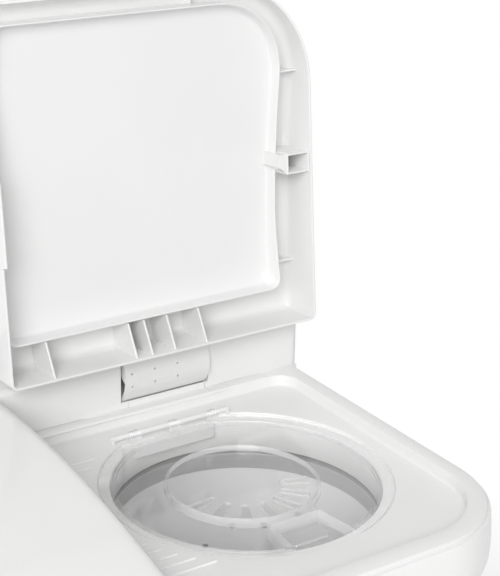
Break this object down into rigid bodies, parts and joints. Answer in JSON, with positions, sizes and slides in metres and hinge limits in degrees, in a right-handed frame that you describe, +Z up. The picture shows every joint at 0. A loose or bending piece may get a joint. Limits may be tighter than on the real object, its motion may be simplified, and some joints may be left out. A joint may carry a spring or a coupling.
{
  "type": "twin tub washing machine",
  "caption": "White twin tub washing machine with a wide wash tub, a round spin basket under a clear inner lid, hinged lids and a control console behind.",
  "frame": {"origin": "on the floor, midway between the sides and midway between the front and the end of the water inlet", "axes": "+Z up, +X to the right as seen from the front, +Y to the back, where the console is"},
  "size_m": [0.7508, 0.454, 1.1907],
  "materials": {
    "deck_white": "glossy white moulding",
    "lid_white": "glossy white moulding",
    "liner_white": "satin white sheet",
    "cabinet_white": "satin white moulding",
    "base_grey": "matte light grey",
    "panel_grey": "satin pale grey print",
    "knob_grey": "satin pale grey",
    "clear": "clear moulding",
    "tub_white": "satin white moulding",
    "basket_grey": "satin grey moulding",
    "mesh_grey": "grey moulding with netting",
    "rubber_black": "matte black rubber",
    "black_plastic": "matte black moulding",
    "hose_grey": "matte grey rubber",
    "steel": "plain steel",
    "painted_grey": "grey paint",
    "alloy": "cast and turned"
  },
  "bodies": {
    "machine": {"feet": "rubber_black", "base_tray": "base_grey", "cabinet": "cabinet_white", "rear_cover": "base_grey", "case_screws": "steel", "top_deck": "deck_white", "console_body": "deck_white", "console_back": "base_grey", "control_panel": "panel_grey", "hinge_inserts": "deck_white", "hinge_pins": "steel", "lid_switch": "black_plastic", "brake_cable_sheath": "black_plastic", "brake_bracket": "steel", "inner_lid_bar": "deck_white", "wash_tub": "tub_white", "overflow_cover": "tub_white", "pulsator_gearbox": "painted_grey", "drive_belt": "rubber_black", "wash_motor": "painted_grey", "wash_motor_bracket": "steel", "spin_tub": "tub_white", "spin_seal": "rubber_black", "spin_motor": "painted_grey", "spin_motor_plate": "steel", "spin_motor_mounts": "rubber_black", "timers": "black_plastic", "drain_valve": "tub_white", "drain_hoses": "hose_grey", "inlet_manifold": "tub_white", "capacitors": "alloy", "cord_gland": "black_plastic"},
    "wash_lid": {"wash_lid": "lid_white", "wash_lid_liner": "liner_white", "wash_hinge_plate": "lid_white"},
    "spin_lid": {"spin_lid": "lid_white", "spin_lid_liner": "liner_white", "spin_hinge_plate": "lid_white"},
    "lid_lever": {"lid_lever": "knob_grey"},
    "brake_wire": {"brake_wire": "steel"},
    "brake_lever": {"brake_lever": "painted_grey"},
    "inner_lid": {"inner_lid": "clear"},
    "lint_filter": {"lint_filter": "mesh_grey"},
    "pulsator": {"pulsator": "mesh_grey", "pulsator_screw": "steel", "pulsator_shaft": "steel", "pulsator_pulley": "black_plastic"},
    "wash_rotor": {"wash_motor_rotor": "steel", "wash_motor_pulley": "alloy"},
    "basket": {"spin_basket": "basket_grey", "balance_ring": "mesh_grey", "spin_shaft": "steel", "brake_drum": "alloy"},
    "wash_timer_knob": {"wash_timer_knob": "knob_grey"},
    "spin_timer_knob": {"spin_timer_knob": "knob_grey"},
    "drain_selector_knob": {"drain_selector_knob": "knob_grey"},
    "inlet_selector_knob": {"inlet_selector_knob": "knob_grey"},
    "drain_lever": {"drain_lever": "knob_grey"},
    "drain_plunger": {"drain_plunger": "black_plastic"}
  },
  "joints": [
    {"name": "wash_lid_hinge", "type": "hinge", "parent": "machine", "child": "wash_lid", "pos_m": [-0.166, 0.1386, 0.8395], "axis": [-1, 0, 0], "range_deg": [0, 95.75]},
    {"name": "spin_lid_hinge", "type": "hinge", "parent": "machine", "child": "spin_lid", "pos_m": [0.218, 0.1386, 0.8395], "axis": [-1, 0, 0], "range_deg": [-95.75, 0]},
    {"name": "inner_lid_hinge", "type": "hinge", "parent": "machine", "child": "inner_lid", "pos_m": [0.2065, 0.089, 0.789], "axis": [-1, 0, 0], "range_deg": [0, 85]},
    {"name": "lid_lever_pivot", "type": "hinge", "parent": "machine", "child": "lid_lever", "pos_m": [0.27425, 0.1797, 0.8115], "axis": [-1, 0, 0], "range_deg": [0, 14]},
    {"name": "brake_wire_slide", "type": "slide", "parent": "machine", "child": "brake_wire", "axis": [0, 0, 1], "range_m": [0, 0.00512]},
    {"name": "brake_lever_pivot", "type": "hinge", "parent": "machine", "child": "brake_lever", "pos_m": [0.27425, 0.026, 0.285], "axis": [1, 0, 0], "range_deg": [0, 2.21]},
    {"name": "lint_filter_slide", "type": "slide", "parent": "machine", "child": "lint_filter", "axis": [0, 0, 1], "range_m": [0, 0.03]},
    {"name": "pulsator_spin", "type": "hinge", "parent": "machine", "child": "pulsator", "pos_m": [-0.1595, -0.0425, 0.358], "axis": [0, 0, 1], "continuous": true},
    {"name": "wash_motor_spin", "type": "hinge", "parent": "machine", "child": "wash_rotor", "pos_m": [-0.2715, 0.0025, 0.298], "axis": [0, 0, 1], "continuous": true},
    {"name": "basket_spin", "type": "hinge", "parent": "machine", "child": "basket", "pos_m": [0.2065, -0.03, 0.33], "axis": [0, 0, 1], "continuous": true},
    {"name": "wash_timer_turn", "type": "hinge", "parent": "machine", "child": "wash_timer_knob", "pos_m": [-0.29, 0.18268, 0.85134], "axis": [0, 0.309, -0.9511], "range_deg": [0, 300]},
    {"name": "spin_timer_turn", "type": "hinge", "parent": "machine", "child": "spin_timer_knob", "pos_m": [0.3165, 0.18268, 0.85134], "axis": [0, 0.309, -0.9511], "range_deg": [0, 300]},
    {"name": "drain_selector_turn", "type": "hinge", "parent": "machine", "child": "drain_selector_knob", "pos_m": [0.04, 0.18268, 0.85134], "axis": [0, 0.309, -0.9511], "range_deg": [0, 90]},
    {"name": "inlet_selector_turn", "type": "hinge", "parent": "machine", "child": "inlet_selector_knob", "pos_m": [-0.06, 0.18268, 0.85134], "axis": [0, 0.309, -0.9511], "range_deg": [-90, 0]},
    {"name": "drain_lever_pivot", "type": "hinge", "parent": "machine", "child": "drain_lever", "pos_m": [0.04, 0.17, 0.815], "axis": [-1, 0, 0], "range_deg": [0, 14.5]},
    {"name": "drain_plunger_slide", "type": "slide", "parent": "machine", "child": "drain_plunger", "axis": [0, 0, 1], "range_m": [0, 0.00505]}
  ],
  "couplings": [
    {"joint": "lid_lever_pivot", "follows": "spin_lid_hinge", "ratio": -0.14621},
    {"joint": "brake_wire_slide", "follows": "spin_lid_hinge", "m_per_rad": -0.0030628},
    {"joint": "brake_lever_pivot", "follows": "spin_lid_hinge", "ratio": -0.02306},
    {"joint": "wash_motor_spin", "follows": "pulsator_spin", "ratio": 3},
    {"joint": "drain_lever_pivot", "follows": "drain_selector_turn", "ratio": 0.16111},
    {"joint": "drain_plunger_slide", "follows": "drain_selector_turn", "m_per_rad": 0.0032136}
  ]
}
